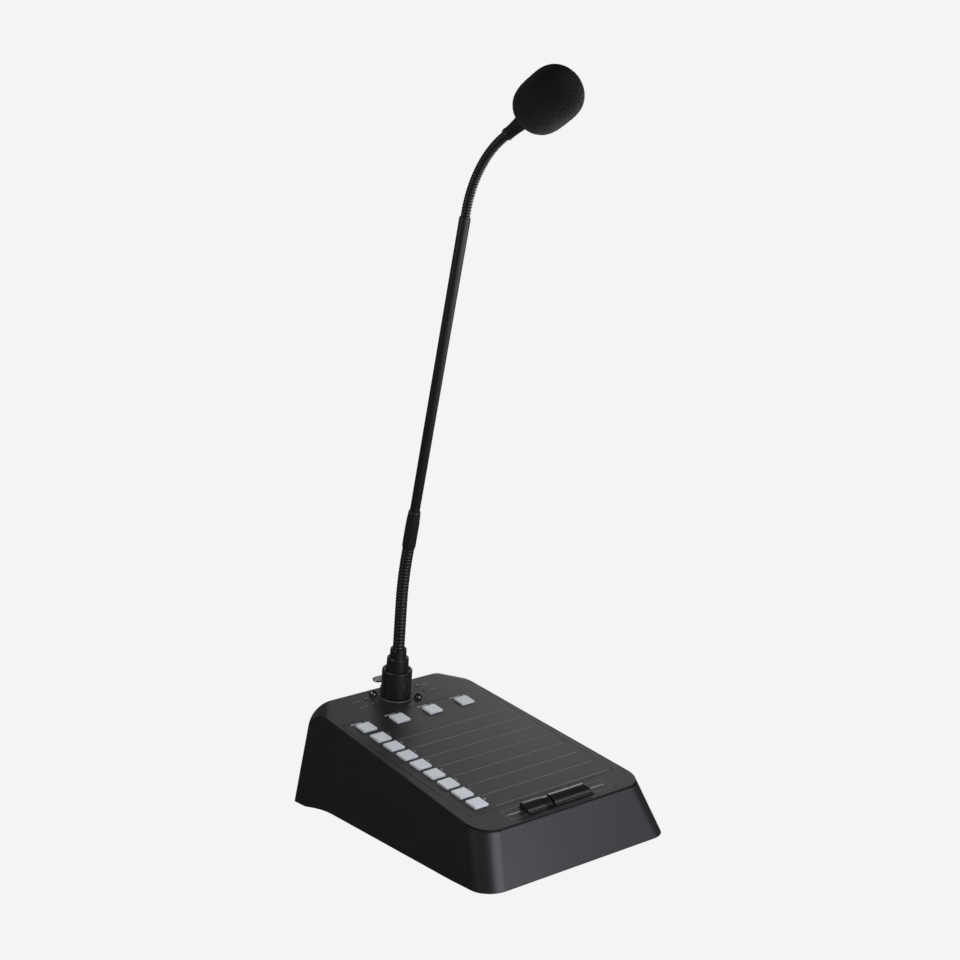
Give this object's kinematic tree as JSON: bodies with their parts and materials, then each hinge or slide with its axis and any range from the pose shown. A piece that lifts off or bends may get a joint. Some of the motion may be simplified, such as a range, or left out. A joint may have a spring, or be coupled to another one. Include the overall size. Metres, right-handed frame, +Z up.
{
  "type": "paging microphone",
  "caption": "Desk paging microphone: wedge base with zone keys and talk keys, and a plug-in gooseneck with a foam-covered head.",
  "frame": {"origin": "on the table, under the middle of the base", "axes": "+Z up, +Y to the rear where the neck plugs in, +X to the right as seen by the person who talks"},
  "size_m": [0.1488, 0.2131, 0.4793],
  "materials": {
    "housing": "fine matte texture",
    "plate": "satin black",
    "feet": "matt",
    "steel": "bright",
    "label": "matt film",
    "board": "solder mask",
    "switch": "matt",
    "contact": "bright",
    "connector": "matt",
    "lamp": "clear dark",
    "talk": "gloss black",
    "socket": "satin black",
    "screw": "gloss black",
    "plug": "satin black",
    "tab": "bright",
    "key": "satin light grey",
    "flex": "satin black",
    "neck": "satin black",
    "capsule": "matt",
    "foam": "open-cell foam"
  },
  "bodies": {
    "base": {"housing": "housing", "bottom_plate": "plate", "rubber_feet": "feet", "plate_screws": "steel", "label_panel": "label", "key_board": "board", "board_screws": "steel", "key_switches": "switch", "main_board": "board", "board_pillars": "contact", "data_socket": "connector", "supply_jack": "connector", "lamps": "lamp", "talk_frame": "talk", "talk_pin": "steel", "talk_switches": "switch", "socket_shell": "socket", "socket_insert": "connector", "socket_contacts": "contact", "socket_screws": "screw", "plug_shell": "plug", "plug_insert": "connector", "plug_pins": "contact", "lower_flex_a": "flex"},
    "zone_key_1": {"zone_key_1": "key"},
    "zone_key_2": {"zone_key_2": "key"},
    "zone_key_3": {"zone_key_3": "key"},
    "zone_key_4": {"zone_key_4": "key"},
    "zone_key_5": {"zone_key_5": "key"},
    "zone_key_6": {"zone_key_6": "key"},
    "zone_key_7": {"zone_key_7": "key"},
    "zone_key_8": {"zone_key_8": "key"},
    "group_key_1": {"group_key_1": "key"},
    "group_key_2": {"group_key_2": "key"},
    "group_key_3": {"group_key_3": "key"},
    "group_key_4": {"group_key_4": "key"},
    "talk_key_short": {"talk_key_short": "talk"},
    "talk_key_long": {"talk_key_long": "talk"},
    "release_tab": {"release_tab": "tab"},
    "neck_link": {"lower_flex_b": "flex"},
    "neck": {"neck_sleeve": "neck", "neck_tube": "neck", "upper_flex_a": "flex"},
    "head_link": {"upper_flex_b": "flex"},
    "head": {"head_ferrule": "neck", "capsule_case": "capsule", "capsule_grille": "capsule", "windscreen": "foam"}
  },
  "joints": [
    {"name": "zone_key_1_press", "type": "slide", "parent": "base", "child": "zone_key_1", "axis": [0, 0.1564, -0.9877], "range_m": [0, 0.0008], "stiffness_N_per_m": 600, "springref_m": -0.0006},
    {"name": "zone_key_2_press", "type": "slide", "parent": "base", "child": "zone_key_2", "axis": [0, 0.1564, -0.9877], "range_m": [0, 0.0008], "stiffness_N_per_m": 600, "springref_m": -0.0006},
    {"name": "zone_key_3_press", "type": "slide", "parent": "base", "child": "zone_key_3", "axis": [0, 0.1564, -0.9877], "range_m": [0, 0.0008], "stiffness_N_per_m": 600, "springref_m": -0.0006},
    {"name": "zone_key_4_press", "type": "slide", "parent": "base", "child": "zone_key_4", "axis": [0, 0.1564, -0.9877], "range_m": [0, 0.0008], "stiffness_N_per_m": 600, "springref_m": -0.0006},
    {"name": "zone_key_5_press", "type": "slide", "parent": "base", "child": "zone_key_5", "axis": [0, 0.1564, -0.9877], "range_m": [0, 0.0008], "stiffness_N_per_m": 600, "springref_m": -0.0006},
    {"name": "zone_key_6_press", "type": "slide", "parent": "base", "child": "zone_key_6", "axis": [0, 0.1564, -0.9877], "range_m": [0, 0.0008], "stiffness_N_per_m": 600, "springref_m": -0.0006},
    {"name": "zone_key_7_press", "type": "slide", "parent": "base", "child": "zone_key_7", "axis": [0, 0.1564, -0.9877], "range_m": [0, 0.0008], "stiffness_N_per_m": 600, "springref_m": -0.0006},
    {"name": "zone_key_8_press", "type": "slide", "parent": "base", "child": "zone_key_8", "axis": [0, 0.1564, -0.9877], "range_m": [0, 0.0008], "stiffness_N_per_m": 600, "springref_m": -0.0006},
    {"name": "group_key_1_press", "type": "slide", "parent": "base", "child": "group_key_1", "axis": [0, 0.1564, -0.9877], "range_m": [0, 0.0008], "stiffness_N_per_m": 600, "springref_m": -0.0006},
    {"name": "group_key_2_press", "type": "slide", "parent": "base", "child": "group_key_2", "axis": [0, 0.1564, -0.9877], "range_m": [0, 0.0008], "stiffness_N_per_m": 600, "springref_m": -0.0006},
    {"name": "group_key_3_press", "type": "slide", "parent": "base", "child": "group_key_3", "axis": [0, 0.1564, -0.9877], "range_m": [0, 0.0008], "stiffness_N_per_m": 600, "springref_m": -0.0006},
    {"name": "group_key_4_press", "type": "slide", "parent": "base", "child": "group_key_4", "axis": [0, 0.1564, -0.9877], "range_m": [0, 0.0008], "stiffness_N_per_m": 600, "springref_m": -0.0006},
    {"name": "talk_key_short_press", "type": "hinge", "parent": "base", "child": "talk_key_short", "pos_m": [0, -0.07844, 0.03219], "axis": [1, 0, 0], "range_deg": [0, 5], "stiffness_Nm_per_rad": 0.08, "springref_deg": -5.73},
    {"name": "talk_key_long_press", "type": "hinge", "parent": "base", "child": "talk_key_long", "pos_m": [0, -0.07844, 0.03219], "axis": [1, 0, 0], "range_deg": [0, 5], "stiffness_Nm_per_rad": 0.08, "springref_deg": -5.73},
    {"name": "release_tab_push", "type": "hinge", "parent": "base", "child": "release_tab", "pos_m": [0, 0.09897, 0.06586], "axis": [-1, 0, 0], "range_deg": [0, 7], "stiffness_Nm_per_rad": 0.05, "springref_deg": -5.73},
    {"name": "neck_low_tilt", "type": "hinge", "parent": "base", "child": "neck_link", "pos_m": [0, 0.07818, 0.11274], "axis": [1, 0, 0], "range_deg": [-20, 25], "deforming": ["lower_flex_a"]},
    {"name": "neck_low_swing", "type": "hinge", "parent": "neck_link", "child": "neck", "pos_m": [0, 0.07136, 0.14913], "axis": [0, 0.9678, 0.2519], "range_deg": [-30, 30], "deforming": ["lower_flex_b"]},
    {"name": "neck_high_swing", "type": "hinge", "parent": "neck", "child": "head_link", "pos_m": [0, -0.01268, 0.40506], "axis": [0, 0.8818, 0.4717], "range_deg": [-35, 35], "deforming": ["upper_flex_a"]},
    {"name": "head_tilt", "type": "hinge", "parent": "head_link", "child": "head", "pos_m": [0, -0.03447, 0.4307], "axis": [1, 0, 0], "range_deg": [-40, 30], "deforming": ["upper_flex_b"]}
  ]
}
